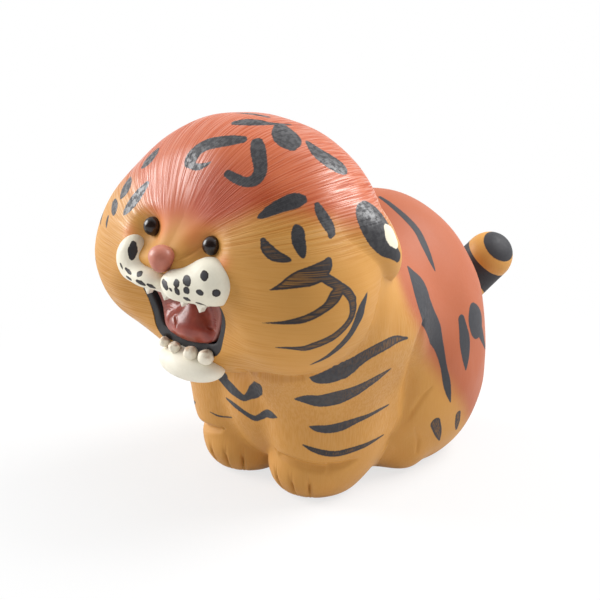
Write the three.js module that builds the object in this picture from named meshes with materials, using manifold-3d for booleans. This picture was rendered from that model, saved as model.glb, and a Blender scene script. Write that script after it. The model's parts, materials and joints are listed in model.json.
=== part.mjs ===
// A tea pet: a small hollow clay tiger cub that sits on a tea tray, head raised and mouth open.
// Its pieces are modelled one by one, as a potter makes them, and luted on with slip.
// Millimetres, +Z up. The cub faces -Y and its own left side is +X.
// The origin is on the tray, under the middle of the figure.

import * as THREE from 'three';
import { mergeVertices } from 'three/addons/utils/BufferGeometryUtils.js';
import Module from 'manifold-3d';

const wasm = await Module();
wasm.setup();

// Driving dimensions
const headCentre = [0, -29, 42];
const wall = 3.6; // clay thickness of the hollow head and body
const lutingGap = 0.3; // the layer of slip between two pieces
const ventDiameter = 7; // firing vent in the base
const neck = { diameter: 11, inHead: [0, 3, -3], inBody: [0, 22, -19] }; // joins the two hollows

// Lumps of clay that the body and the head are pressed from, in their own frames
const barrel = { centre: [0, 1, 20], radii: [19.5, 18.5, 23.5] };
const haunch = { centre: [7.4, 0.6, 10.8], radii: [9.2, 13.8, 11.3] };
const shoulder = { centre: [8.6, -18.2, 16.5], radii: [9.8, 10.4, 18] };
const chest = { centre: [0, -18, 20.5], radii: [10.5, 11, 13.5] };
const nape = { centre: [9, -17.3, 29], radii: [14.5, 17, 12.5] };
const skull = { centre: [0, 4.2, 3], radii: [22.8, 15.4, 16.2] };
const cheek = { centre: [13, -1.6, -4.7], radii: [13.6, 11.8, 12.5] };
const muzzle = { centre: [0, -9.8, -1.2], radii: [8.5, 5.5, 4] };
const jaw = { centre: [0, -4.5, -13.5], radii: [8, 7, 5.5] };
const eyeHollow = { centre: [6.4, -16.3, 3.7], radii: [3.7, 4.8, 3.4] };
const mouthHollow = { centre: [0, -18.5, -9], radii: [15, 8.5, 8] };

// Pieces on the face, in the head's frame; proud is how far a middle stands off the skin
const eye = { x: 6.6, z: 3.8, radius: 1.5, proud: 0.5 };
const nose = { z: 1.5, proud: 0.7, radii: [2.15, 2, 1.75], tipDrop: 1.2, tipRadii: [1.1, 1.5, 1.25] };
const padOuter = { x: 8.7, z: -1.1, proud: -1.7, radii: [4.5, 3.5, 3.9] };
const padInner = { x: 3.5, z: -2.6, proud: -0.5, radii: [3.4, 2.7, 2] };
const mouth = { top: -3.8, bottom: -15.2, topHalf: 10.3, bottomHalf: 7.4, corner: 2.8, back: -3 };
const rim = { width: 1.2, sill: 2.1, back: -9.2 };
const palate = { centre: [0, -9.5, -9], radii: [7.2, 4.2, 5.2] };
const tongueRoot = { centre: [0, -6.4, -9], radii: [4, 3.4, 3.6] };
const tongueTip = { centre: [0, -8.6, -11.2], radii: [4.9, 3, 2.7] };
const toothPoint = { height: 1.15, half: 0.7, x: [-5.9, -2, 2, 5.9] };
const upperTeeth = { half: 7.2, gum: 1.4, thick: 1.2, setBack: 1 }; // setBack is from the lip
const lowerTeeth = { radius: 1.15, proud: 0.3, z: -14.7, x: [-4.7, -1.8, 1.8, 4.7] };
const chin = { centre: [0, -10.2, -17.3], radii: [6.5, 3.7, 2.6] };
const ear = { centre: [20.6, 7.7, 2.4], radii: [4.6, 4.4, 7.2], lean: 34 }; // leans its top forwards

// Limbs and tail, in the body's frame
const forepaw = { centre: [7.6, -20.2, 4.6], radii: [7, 6.6, 6] };
const toe = { degrees: [-40, -14, 14, 40], width: 0.45, radius: 2.2, reach: 7.5, z: 1.8 };
const hindPaw = { centre: [12, -4.2, 4.4], radii: [3.8, 3.6, 4.3] };
const tail = { radius: 4.1, root: [0, 13, 17], bend: [-3.5, 28.9, 21], tip: [5.1, 28.3, 29.4] };

// How softly the lumps run into each other
const soft = { body: 6, chest: 3, head: 8, socket: 3, mouth: 3, pad: 2.5, nose: 1.2 };

// Rays around and along a skin, and steps round the smaller curves
const fine = { head: [40, 26], body: [36, 24], hollow: [20, 14], small: [20, 12], bead: [12, 8] };
const rollSteps = [4, 14, 7]; // along a round end, around and along the tail
const curveSteps = 5;
const boreSides = 24;
const toeSides = 14;

// Clay colours
const ochreClay = clay(0xc8924a, 0.6);
const emberClay = clay(0xc46a48, 0.6);
const whiteClay = clay(0xe9e4d2, 0.55);
const blackClay = clay(0x3a3738, 0.5);
const redClay = clay(0x8e3a30, 0.35);
const roseClay = clay(0xa95a50, 0.45);

function clay(color, roughness) {
  return new THREE.MeshStandardMaterial({ color, roughness, metalness: 0 });
}

// Soft forms
// A form is negative inside the clay and about the distance to its surface outside it.

function ball({ centre: [cx, cy, cz], radii: [rx, ry, rz] }) {
  return (x, y, z) => {
    const [dx, dy, dz] = [x - cx, y - cy, z - cz];
    const scaled = Math.hypot(dx / rx, dy / ry, dz / rz);
    const slope = Math.hypot(dx / rx ** 2, dy / ry ** 2, dz / rz ** 2);
    return slope === 0 ? -Math.min(rx, ry, rz) : (scaled * (scaled - 1)) / slope;
  };
}

// The same form on both sides of the cub
function pair(lump) {
  const form = ball(lump);
  return (x, y, z) => form(Math.abs(x), y, z);
}

// Forms pressed together, with a thumbed fillet in every hollow
function melt(softness, ...forms) {
  return (x, y, z) => forms.map((form) => form(x, y, z)).reduce((a, b) => {
    const near = Math.max(softness - Math.abs(a - b), 0) / softness;
    return Math.min(a, b) - (near * near * softness) / 4;
  });
}

// A form with a soft hollow thumbed into it
function dent(softness, form, hollow) {
  const filled = melt(softness, (x, y, z) => -form(x, y, z), hollow);
  return (x, y, z) => -filled(x, y, z);
}

// How far a ray runs before it leaves a form, or the form grown outwards
function depthAlong(form, [cx, cy, cz], ray, grow = 0) {
  const [farthest, halvings] = [60, 26];
  let [inside, outside] = [0, farthest];
  for (let i = 0; i < halvings; i++) {
    const middle = (inside + outside) / 2;
    if (form(cx + ray.x * middle, cy + ray.y * middle, cz + ray.z * middle) < grow) inside = middle;
    else outside = middle;
  }
  return inside;
}

// The closed skin of a form, found along rays from a centre inside it
function skin(form, centre, [columns, rows], grow = 0) {
  const geometry = new THREE.SphereGeometry(1, columns, rows);
  const position = geometry.attributes.position;
  const ray = new THREE.Vector3();
  for (let i = 0; i < position.count; i++) {
    ray.fromBufferAttribute(position, i).normalize();
    ray.multiplyScalar(depthAlong(form, centre, ray, grow));
    position.setXYZ(i, centre[0] + ray.x, centre[1] + ray.y, centre[2] + ray.z);
  }
  return solid(geometry);
}

// Solids

const closeEnough = 1e-4; // corners nearer than this are one corner

function solid(geometry) {
  const bare = geometry.clone();
  bare.deleteAttribute('normal');
  bare.deleteAttribute('uv');
  const merged = mergeVertices(bare, closeEnough);
  return new wasm.Manifold(new wasm.Mesh({
    numProp: 3,
    vertProperties: merged.attributes.position.array,
    triVerts: new Uint32Array(merged.index.array),
  }));
}

function piece(name, shape, material) {
  const { vertProperties, triVerts } = shape.getMesh();
  const geometry = new THREE.BufferGeometry();
  geometry.setAttribute('position', new THREE.BufferAttribute(vertProperties, 3));
  geometry.setIndex(new THREE.BufferAttribute(triVerts, 1));
  geometry.computeVertexNormals();
  const mesh = new THREE.Mesh(geometry, material);
  mesh.name = name;
  return mesh;
}

function egg({ centre, radii, lean = 0 }, [columns, rows] = fine.small) {
  const geometry = new THREE.SphereGeometry(1, columns, rows).rotateX(Math.PI / 2).scale(...radii);
  return solid(geometry.rotateX(THREE.MathUtils.degToRad(lean)).translate(...centre));
}

function bead(centre, radius) {
  return egg({ centre, radii: [radius, radius, radius] }, fine.bead);
}

function block(size, centre) {
  return solid(new THREE.BoxGeometry(...size).translate(...centre));
}

// A round bore from one point to another
function bore(diameter, from, to) {
  const [start, end] = [new THREE.Vector3(...from), new THREE.Vector3(...to)];
  const along = end.clone().sub(start);
  const geometry = new THREE.CylinderGeometry(diameter / 2, diameter / 2, along.length(), boreSides);
  const turn = new THREE.Quaternion().setFromUnitVectors(new THREE.Vector3(0, 1, 0), along.normalize());
  return solid(geometry.applyQuaternion(turn).translate(...start.lerp(end, 0.5)));
}

// A flat outline in X and Z, pushed through from a front to a back along Y
function pushed(outline, front, back) {
  const depth = back - front;
  const settings = { depth, bevelEnabled: false, curveSegments: curveSteps };
  const geometry = new THREE.ExtrudeGeometry(outline, settings);
  return solid(geometry.rotateX(Math.PI / 2).translate(0, back, 0));
}

function mirrored([x, y, z], side) {
  return [side * x, y, z];
}

const wide = 200; // more than the whole figure
const tray = block([wide, wide, wide], [0, 0, -wide / 2]);

// The two main forms

const bodyForm = melt(
  soft.chest,
  melt(soft.body, ball(barrel), pair(haunch), pair(shoulder), pair(nape)),
  ball(chest),
);
const bodyMiddle = [0, -3, 20];
const bodySkin = (grow = 0, rays = fine.body) => skin(bodyForm, bodyMiddle, rays, grow);

const headLumps = melt(soft.head, ball(skull), pair(cheek), ball(muzzle), ball(jaw));
const faceForm = dent(soft.socket, headLumps, pair(eyeHollow));
const headForm = dent(soft.socket, faceForm, ball(mouthHollow));
const headMiddle = [0, 0, 0];
const headSkin = (grow = 0, rays = fine.head) => skin(headForm, headMiddle, rays, grow);

// How far forward the face is at a place across it and up it, without the hollow round the mouth
function faceAt(x, z) {
  return -depthAlong(faceForm, [x, 0, z], new THREE.Vector3(0, -1, 0));
}

// The mouth

// A rounded outline, wider above than below; inset draws it in all round, and sill at the bottom
function mouthOutline(inset, sill = inset) {
  const [top, bottom] = [mouth.top - inset, mouth.bottom + sill];
  const [topHalf, bottomHalf] = [mouth.topHalf - inset, mouth.bottomHalf - inset];
  const corner = Math.max(mouth.corner - inset, lutingGap);
  const lean = ((topHalf - bottomHalf) * corner) / (top - bottom);
  const outline = new THREE.Shape();
  outline.moveTo(-topHalf + corner, top);
  outline.quadraticCurveTo(-topHalf, top, -topHalf + lean, top - corner);
  outline.lineTo(-bottomHalf - lean, bottom + corner);
  outline.quadraticCurveTo(-bottomHalf, bottom, -bottomHalf + corner, bottom);
  outline.lineTo(bottomHalf - corner, bottom);
  outline.quadraticCurveTo(bottomHalf, bottom, bottomHalf + lean, bottom + corner);
  outline.lineTo(topHalf - lean, top - corner);
  outline.quadraticCurveTo(topHalf, top, topHalf - corner, top);
  return outline;
}

const beforeFace = -30;
const rimInset = lutingGap + rim.width;

// The clay between the mouth's outline and the rim's inner edge, drawn in or let out by a gap
function band(gap, back) {
  const outer = pushed(mouthOutline(lutingGap - gap), beforeFace, back);
  const inner = mouthOutline(rimInset + gap, lutingGap + rim.sill + gap);
  return outer.subtract(pushed(inner, beforeFace - wall, back + wall));
}

function liningPlug(inset) {
  return pushed(mouthOutline(inset), rim.back + inset, mouth.back - inset);
}

function palateHollow(grow) {
  return egg({ centre: palate.centre, radii: palate.radii.map((r) => r + grow) });
}

const lowerToothPlaces = lowerTeeth.x.map(
  (x) => [x, faceAt(x, lowerTeeth.z) - lowerTeeth.proud, lowerTeeth.z],
);

function withToothSockets(shape) {
  return lowerToothPlaces.reduce(
    (left, place) => left.subtract(bead(place, lowerTeeth.radius + lutingGap)),
    shape,
  );
}

// A U of clay round the sides and the bottom of the mouth, open under the upper teeth
function makeRim() {
  const openHeight = 2 * (rimInset + lutingGap);
  const openTop = block([2 * (mouth.topHalf - rimInset), wide, openHeight], [0, 0, mouth.top]);
  const ring = band(0, rim.back).intersect(headSkin());
  return withToothSockets(ring.subtract(openTop));
}

function makeLining() {
  return liningPlug(lutingGap).subtract(palateHollow(0));
}

function makeTongue() {
  const form = melt(soft.mouth, ball(tongueRoot), ball(tongueTip));
  const lining = liningPlug(0).subtract(palateHollow(-lutingGap));
  const rimSide = band(lutingGap, rim.back + lutingGap);
  const middle = tongueRoot.centre.map((value, i) => (value + tongueTip.centre[i]) / 2);
  return skin(form, middle, fine.small).subtract(lining).subtract(rimSide);
}

function makeUpperTeeth() {
  const top = mouth.top - lutingGap;
  const gum = top - upperTeeth.gum;
  const outline = new THREE.Shape();
  outline.moveTo(-upperTeeth.half, top);
  outline.lineTo(-upperTeeth.half, gum);
  for (const x of toothPoint.x) {
    outline.lineTo(x - toothPoint.half, gum);
    outline.lineTo(x, gum - toothPoint.height);
    outline.lineTo(x + toothPoint.half, gum);
  }
  outline.lineTo(upperTeeth.half, gum);
  outline.lineTo(upperTeeth.half, top);
  const front = faceAt(upperTeeth.half, mouth.top) + upperTeeth.setBack;
  return pushed(outline, front, front + upperTeeth.thick);
}

// The rest of the face

const eyePlace = [eye.x, faceAt(eye.x, eye.z) - eye.proud, eye.z];
const nosePlace = [0, faceAt(0, nose.z) - nose.proud, nose.z];

function makeHead() {
  const mouthPocket = pushed(mouthOutline(0), beforeFace, mouth.back);
  const mouthWall = pushed(mouthOutline(-wall), beforeFace, mouth.back + wall);
  const hollow = headSkin(-wall, fine.hollow).subtract(mouthWall);
  let shell = withToothSockets(headSkin().subtract(mouthPocket));
  for (const side of [1, -1]) {
    shell = shell.subtract(bead(mirrored(eyePlace, side), eye.radius + lutingGap));
  }
  return shell.subtract(hollow).subtract(bore(neck.diameter, neck.inHead, neck.inBody));
}

// A nose that is broad above and pointed below
function noseSkin(grow) {
  const [x, y, z] = nosePlace;
  const bridge = ball({ centre: nosePlace, radii: nose.radii });
  const tip = ball({ centre: [x, y, z - nose.tipDrop], radii: nose.tipRadii });
  return skin(melt(soft.nose, bridge, tip), nosePlace, fine.bead, grow);
}

// A whisker pad is thick at the cheek and thin where it meets its twin under the nose
function makePad(side) {
  const lumps = [padOuter, padInner].map(({ x, z, proud, radii }) => {
    const centre = [side * x, faceAt(x, z) - proud, z];
    return ball({ centre, radii });
  });
  const middleX = (padOuter.x + padInner.x) / 2;
  const middle = [side * middleX, faceAt(middleX, padOuter.z), padOuter.z];
  const acrossMiddle = block([wide, wide, wide], [-side * (wide / 2 - lutingGap / 2), 0, 0]);
  const belowLip = block([wide, wide, wide], [0, 0, mouth.top - wide / 2]);
  const whole = skin(melt(soft.pad, ...lumps), middle, fine.small).subtract(headSkin(lutingGap));
  return whole.subtract(acrossMiddle).subtract(belowLip).subtract(noseSkin(lutingGap));
}

// Body pieces

function makeBody() {
  const headInFigure = (x, y, z) => headForm(x - headCentre[0], y - headCentre[1], z - headCentre[2]);
  const seat = (grow, rays) => skin(headInFigure, headCentre, rays, grow);
  const floor = block([wide, wide, wide], [0, 0, wall - wide / 2]);
  const hollow = bodySkin(-wall, fine.hollow).subtract(floor).subtract(seat(wall, fine.hollow));
  const vent = bore(ventDiameter, [0, 0, -wall], [0, 0, 2 * wall]);
  const neckBore = bore(neck.diameter, neck.inHead, neck.inBody).translate(headCentre);
  const outside = bodySkin().subtract(tray).subtract(seat(lutingGap, fine.head));
  return outside.subtract(hollow).subtract(vent).subtract(neckBore);
}

function makePaw({ centre, radii }, side) {
  const lump = egg({ centre: mirrored(centre, side), radii });
  return lump.subtract(tray).subtract(bodySkin(lutingGap));
}

// The toes are nicked into the front of the paw with the edge of a tool
function makeForepaw(side) {
  const [x, y] = mirrored(forepaw.centre, side);
  let paw = makePaw(forepaw, side);
  for (const degrees of toe.degrees) {
    const edge = new THREE.CylinderGeometry(toe.radius, toe.radius, toe.width, toeSides).rotateZ(Math.PI / 2);
    edge.translate(0, -toe.reach, toe.z).rotateZ(THREE.MathUtils.degToRad(degrees)).translate(x, y, 0);
    paw = paw.subtract(solid(edge));
  }
  return paw;
}

// A straight roll of clay with round ends, curled up and towards the cub's left
function makeTail() {
  const curve = new THREE.QuadraticBezierCurve3(
    new THREE.Vector3(...tail.root),
    new THREE.Vector3(...tail.bend),
    new THREE.Vector3(...tail.tip),
  );
  const length = curve.getLength();
  const geometry = new THREE.CapsuleGeometry(tail.radius, length - 2 * tail.radius, ...rollSteps);
  const position = geometry.attributes.position;
  for (let i = 0; i < position.count; i++) {
    const share = THREE.MathUtils.clamp(position.getY(i) / length + 0.5, 0, 1);
    const along = curve.getTangentAt(share);
    const aside = new THREE.Vector3(1, 0, 0).addScaledVector(along, -along.x).normalize();
    const lift = new THREE.Vector3().crossVectors(aside, along);
    const point = curve.getPointAt(share).addScaledVector(aside, position.getX(i));
    position.setXYZ(i, ...point.addScaledVector(lift, position.getZ(i)));
  }
  return solid(geometry).subtract(bodySkin(lutingGap));
}

// Assembly

const figure = new THREE.Group();
const head = new THREE.Group();
head.position.set(...headCentre);
figure.add(head);

figure.add(piece('body_shell', makeBody(), ochreClay));
figure.add(piece('tail', makeTail(), ochreClay));
head.add(piece('head_shell', makeHead(), emberClay));
head.add(piece('mouth_rim', makeRim(), blackClay));
head.add(piece('mouth_lining', makeLining(), redClay));
head.add(piece('tongue', makeTongue(), redClay));
head.add(piece('upper_tooth_strip', makeUpperTeeth(), whiteClay));
head.add(piece('nose', noseSkin(0).subtract(headSkin(lutingGap)), roseClay));
head.add(piece('chin_pad', withToothSockets(egg(chin).subtract(headSkin(lutingGap))), whiteClay));
lowerToothPlaces.forEach((place, i) => {
  head.add(piece(`lower_tooth_${i + 1}`, bead(place, lowerTeeth.radius), whiteClay));
});
for (const [name, side] of [['left', 1], ['right', -1]]) {
  const earLump = egg({ ...ear, centre: mirrored(ear.centre, side) });
  head.add(piece(`${name}_ear`, earLump.subtract(headSkin(lutingGap)), blackClay));
  head.add(piece(`${name}_eye`, bead(mirrored(eyePlace, side), eye.radius), blackClay));
  head.add(piece(`${name}_whisker_pad`, makePad(side), whiteClay));
  figure.add(piece(`${name}_forepaw`, makeForepaw(side), ochreClay));
  figure.add(piece(`${name}_hind_paw`, makePaw(hindPaw, side), ochreClay));
}

// Centre the figure over the origin, from the nose to the tip of the tail
const middle = new THREE.Box3().setFromObject(figure).getCenter(new THREE.Vector3());
figure.position.y = -middle.y;

const teaPet = new THREE.Group();
teaPet.add(figure);

export default teaPet;
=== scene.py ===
# A clay tiger cub for a tea tray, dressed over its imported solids.
# Shapes are worked out in millimetres, and turned to metres when a mesh is filled.
import json
import math
import bmesh
import bpy
import numpy as np
from mathutils import Matrix, Vector, noise
from mathutils.bvhtree import BVHTree

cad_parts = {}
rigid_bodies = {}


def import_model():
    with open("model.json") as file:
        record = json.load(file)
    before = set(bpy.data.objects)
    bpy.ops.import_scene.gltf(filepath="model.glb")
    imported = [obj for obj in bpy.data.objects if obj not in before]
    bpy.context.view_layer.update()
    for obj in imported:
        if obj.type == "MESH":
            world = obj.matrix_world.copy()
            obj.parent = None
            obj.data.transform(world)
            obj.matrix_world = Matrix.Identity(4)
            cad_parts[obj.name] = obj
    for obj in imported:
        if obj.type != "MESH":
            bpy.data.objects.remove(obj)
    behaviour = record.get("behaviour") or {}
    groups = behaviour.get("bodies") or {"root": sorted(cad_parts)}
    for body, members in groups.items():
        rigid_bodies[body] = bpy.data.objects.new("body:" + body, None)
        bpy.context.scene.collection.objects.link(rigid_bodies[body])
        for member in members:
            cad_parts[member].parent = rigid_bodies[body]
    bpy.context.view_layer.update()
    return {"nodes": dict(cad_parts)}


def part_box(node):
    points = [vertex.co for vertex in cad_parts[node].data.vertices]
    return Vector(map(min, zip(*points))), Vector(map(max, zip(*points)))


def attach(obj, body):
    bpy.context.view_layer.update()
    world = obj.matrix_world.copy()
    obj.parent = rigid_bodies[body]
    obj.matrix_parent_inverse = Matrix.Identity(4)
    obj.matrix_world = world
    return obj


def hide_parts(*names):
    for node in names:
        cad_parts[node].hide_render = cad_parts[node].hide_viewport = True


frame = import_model()
sides = (("left", 1), ("right", -1))
mm = 0.001
tiny = 1e-9
sunk = 0.012  # mm by which a lump's skin dips under the clay that it runs into
farReach = 60  # mm, further than any ray runs inside the clay
halvings = 24  # how often a ray's end is narrowed down
sharpAngle = 50  # degrees between faces, from which a carved edge stays sharp

# Forms: negative inside the clay, about the distance to its surface outside


def ball(centre, radii):
    middle, radius = np.array(centre, float), np.array(radii, float)

    def form(points):
        away = points - middle
        scaled = np.linalg.norm(away / radius, axis=1)
        slope = np.linalg.norm(away / radius ** 2, axis=1)
        return scaled * (scaled - 1) / np.maximum(slope, tiny)
    return form


def bothSides(form):
    return lambda points: form(np.abs(points) * (1, 0, 0) + points * (0, 1, 1))


def melt(softness, *forms):  # pressed together; a softness may change from place to place
    def form(points):
        soft = softness(points) if callable(softness) else softness
        result = forms[0](points)
        for other in forms[1:]:
            value = other(points)
            near = np.maximum(soft - np.abs(result - value), 0) / soft
            result = np.minimum(result, value) - near ** 2 * soft / 4
        return result
    return form


def dent(softness, form, hollow):  # a hollow thumbed into a form
    filled = melt(softness, lambda points: -form(points), hollow)
    return lambda points: -filled(points)


def grown(form, amount):
    return lambda points: form(points) - amount


def above(height):  # negative below a height, so that a dent with it cuts the clay off flat there
    return lambda points: points[:, 2] - height


def moved(form, offset):
    return lambda points: form(points - np.array(offset, float))


def turned(form, degrees, axis, centre):
    spin = np.array(Matrix.Rotation(math.radians(degrees), 3, axis))
    return lambda points: form((points - centre) @ spin + centre)


thumbSpec = {"depth": 0.045,
             "waves": (((0.7, 0.2, 0.1), 0), ((-0.3, 0.6, 0.35), 2), ((0.2, -0.35, 0.75), 4))}


def thumbed(form):  # a little uneven, as clay is that was pressed by hand
    def marked(points):
        marks = sum(np.sin(points @ np.array(turn) + start) for turn, start in thumbSpec["waves"])
        return form(points) - thumbSpec["depth"] * marks
    return marked


def smoothStep(low, high, values):
    share = np.clip((values - low) / (high - low), 0, 1)
    return share * share * (3 - 2 * share)


def depths(form, starts, rays, farthest, steps=1):  # how far each ray runs before it first leaves a form
    inside, outside = np.zeros(len(rays)), np.full(len(rays), float(farthest))
    found = np.zeros(len(rays), bool)
    for reach in np.linspace(0, farthest, steps + 1)[1:-1]:
        out = form(starts + rays * reach) >= 0
        outside = np.where(out & ~found, reach, outside)
        found |= out
        inside = np.where(found, inside, reach)
    for halving in range(halvings):
        middle = (inside + outside) / 2
        within = form(starts + rays * middle[:, None]) < 0
        inside, outside = np.where(within, middle, inside), np.where(within, outside, middle)
    return inside


# Meshes

thumbSpread = 9  # mm between thumb marks


# a ball pressed out to a form
def pressedBall(form, middle, detail, farthest=farReach, dimples=0.0, steps=1):
    bm = bmesh.new()
    bmesh.ops.create_icosphere(bm, subdivisions=detail, radius=1)
    rays = np.array([vert.co for vert in bm.verts])
    rays /= np.linalg.norm(rays, axis=1)[:, None]
    start = np.array(middle, float)
    reach = depths(form, start[None, :], rays, farthest, steps)
    if dimples:
        spots = (start + rays * reach[:, None]) / thumbSpread
        reach = reach + dimples * np.array([noise.noise(spot) for spot in spots])
    for vert, point in zip(bm.verts, start + rays * reach[:, None]):
        vert.co = point * mm
    return bm


def meshOf(piece):
    bm = bmesh.new()
    bm.from_mesh(piece.data)
    return bm


def link(name, bm):
    mesh = bpy.data.meshes.new(name)
    for face in bm.faces:
        face.smooth = True
    bm.to_mesh(mesh)
    bm.free()
    made = bpy.data.objects.new(name, mesh)
    bpy.context.scene.collection.objects.link(made)
    return made


def makePiece(name, bm, node):
    piece = link(name, bm)
    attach(piece, "root")
    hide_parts(node)
    return piece


def applyModifiers(piece):
    graph = bpy.context.evaluated_depsgraph_get()
    done = bpy.data.meshes.new_from_object(piece.evaluated_get(graph))
    piece.modifiers.clear()
    piece.data = done
    done.name = piece.name


def carve(piece, bm):
    cutter = link("cutter", bm)
    modifier = piece.modifiers.new("carve", "BOOLEAN")
    modifier.object, modifier.operation, modifier.solver = cutter, "DIFFERENCE", "MANIFOLD"
    applyModifiers(piece)
    bpy.data.objects.remove(cutter)
    piece.data.set_sharp_from_angle(angle=math.radians(sharpAngle))


softSpec = {"merge": 0.001, "rounds": 3, "factor": 0.5}


def softCopy(name, node, voxel):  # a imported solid, its edges softened as wet clay is
    bm = meshOf(frame["nodes"][node])
    bmesh.ops.remove_doubles(bm, verts=bm.verts, dist=softSpec["merge"] * mm)
    piece = makePiece(name, bm, node)
    remesh = piece.modifiers.new("remesh", "REMESH")
    remesh.mode, remesh.voxel_size, remesh.use_smooth_shade = "VOXEL", voxel * mm, True
    applyModifiers(piece)
    bm = meshOf(piece)
    for smoothing in range(softSpec["rounds"]):
        bmesh.ops.smooth_vert(bm, verts=bm.verts, factor=softSpec["factor"],
                              use_axis_x=True, use_axis_y=True, use_axis_z=True)
    bm.to_mesh(piece.data)
    bm.free()
    return piece


# Head

headSpec = {
    "centre": (0, -29, 42), "detail": 7, "softness": 8, "hollowSoftness": 3,
    "skull": ((0, 4.2, 3), (22.8, 15.4, 16.2)), "cheek": ((13, -1.6, -4.7), (13.6, 11.8, 12.5)),
    "muzzle": ((0, -9.8, -1.2), (8.5, 5.5, 4)), "jaw": ((0, -4.5, -13.5), (8, 7, 5.5)),
    "eyeHollow": ((6.4, -16.3, 3.7), (3.7, 4.8, 3.4)), "eyeSeat": ((6.6, -16.3, 3.8), (2.9, 4.7, 2.8)),
    "mouthHollow": ((0, -18.5, -9), (15, 8.5, 8)),
}
mouthSpec = {"top": -3.8, "bottom": -14.85, "topHalf": 9.95, "bottomHalf": 7.05, "corner": 2.6,
             "cornerSteps": 8, "cornerProfile": 0.5, "front": -30, "back": -3}
eyeSpec = {"x": 6.6, "z": 3.8, "proud": 0.5, "radius": 1.5, "around": 40, "along": 24}

headLumps = melt(
    headSpec["softness"], ball(*headSpec["skull"]), bothSides(ball(*headSpec["cheek"])),
    ball(*headSpec["muzzle"]), ball(*headSpec["jaw"]),
)
faceOwn = dent(headSpec["hollowSoftness"], headLumps, bothSides(ball(*headSpec["eyeHollow"])))
skinOwn = dent(headSpec["hollowSoftness"], headLumps, bothSides(ball(*headSpec["eyeSeat"])))
headOwn = dent(headSpec["hollowSoftness"], skinOwn, ball(*headSpec["mouthHollow"]))


def faceAt(x, z):  # how far forward the face is, in the head's own frame
    return -depths(faceOwn, np.array([[x, 0, z]], float), np.array([[0, -1, 0]], float), farReach)[0]


def nodeCentre(node):
    low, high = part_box(node)
    return np.array((low + high) / 2) / mm


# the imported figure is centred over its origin, and the eye tells by how much that moved it
eyeInHead = faceAt(eyeSpec["x"], eyeSpec["z"]) - eyeSpec["proud"]
figureAt = np.array([0, nodeCentre("left_eye")[1] - eyeInHead - headSpec["centre"][1], 0])
headAt = figureAt + headSpec["centre"]
headForm = thumbed(moved(headOwn, headAt))


def mouthPrism():
    spec = mouthSpec
    bm = bmesh.new()
    corners = [(-spec["topHalf"], spec["top"]), (-spec["bottomHalf"], spec["bottom"]),
               (spec["bottomHalf"], spec["bottom"]), (spec["topHalf"], spec["top"])]
    verts = [bm.verts.new(Vector(headAt + (x, spec["front"], z)) * mm) for x, z in corners]
    bm.faces.new(verts)
    bmesh.ops.bevel(bm, geom=verts, offset=spec["corner"] * mm, offset_type="OFFSET", affect="VERTICES",
                    segments=spec["cornerSteps"], profile=spec["cornerProfile"], material=-1)
    extruded = bmesh.ops.extrude_face_region(bm, geom=bm.faces[:])
    ends = [item for item in extruded["geom"] if isinstance(item, bmesh.types.BMVert)]
    bmesh.ops.translate(bm, verts=ends, vec=(0, (spec["back"] - spec["front"]) * mm, 0))
    bmesh.ops.recalc_face_normals(bm, faces=bm.faces)
    return bm


head = makePiece("headClay", pressedBall(headForm, headAt, headSpec["detail"]), "head_shell")
carve(head, mouthPrism())
print("head:", len(head.data.polygons), "faces")

# Ears: lobes thumbed on so that their front runs into the head

earSpec = {"centre": (20.6, 7.7, 2.4), "radii": (4.6, 4.4, 7.2), "lean": 34, "softTop": 3.5,
           "softFoot": 0.7, "footAt": -2, "topAt": 5, "detail": 6, "farthest": 12}


def earSoftness(points):
    height = points[:, 2] - headAt[2] - earSpec["centre"][2]
    share = smoothStep(earSpec["footAt"], earSpec["topAt"], height)
    return earSpec["softFoot"] + (earSpec["softTop"] - earSpec["softFoot"]) * share


ears = {}
for side, sign in sides:
    middle = headAt + np.array(earSpec["centre"]) * (sign, 1, 1)
    lobe = turned(ball(middle, earSpec["radii"]), earSpec["lean"], "X", middle)
    lobe = melt(earSoftness, lobe, grown(headForm, -sunk))
    lump = pressedBall(lobe, middle, earSpec["detail"], earSpec["farthest"])
    ears[side] = makePiece(side + "EarClay", lump, side + "_ear")
print("ears:", len(ears))

# Eyes, nose, whisker pads and chin

eyes = {}
for side, sign in sides:
    bm = bmesh.new()
    bmesh.ops.create_uvsphere(bm, u_segments=eyeSpec["around"], v_segments=eyeSpec["along"],
                              radius=eyeSpec["radius"] * mm)
    bmesh.ops.translate(bm, verts=bm.verts, vec=nodeCentre(side + "_eye") * mm)
    eyes[side] = makePiece(side + "EyeBead", bm, side + "_eye")

noseSpec = {"z": 1.5, "proud": 0.7, "radii": (2.15, 2, 1.75), "tipDrop": 1.2, "tipRadii": (1.1, 1.5, 1.25),
            "softness": 1.2, "detail": 5, "dimples": 0.05}
noseAt = headAt + (0, faceAt(0, noseSpec["z"]) - noseSpec["proud"], noseSpec["z"])
noseTip = ball(noseAt - (0, 0, noseSpec["tipDrop"]), noseSpec["tipRadii"])
noseForm = melt(noseSpec["softness"], ball(noseAt, noseSpec["radii"]), noseTip)
noseBall = pressedBall(noseForm, noseAt, noseSpec["detail"], dimples=noseSpec["dimples"])
nose = makePiece("noseClay", noseBall, "nose")

padSpec = {
    "left": {"outer": {"x": 8.2, "z": -1.2, "proud": -1.6, "radii": (4.3, 3.5, 3.8)},
             "inner": {"x": 3.6, "z": -2.4, "proud": -0.5, "radii": (3.7, 2.7, 2.5)}},
    "right": {"outer": {"x": 9, "z": -1.3, "proud": -1.2, "radii": (2.6, 3, 3.5)},
              "inner": {"x": 4.5, "z": -3.2, "proud": -0.7, "radii": (3.8, 2.4, 1.7)}},
    "bottom": -4.6, "softness": 2.5, "edge": 0.6, "gap": 0.08, "deep": 1.5, "detail": 6, "dimples": 0.1,
}


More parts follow.
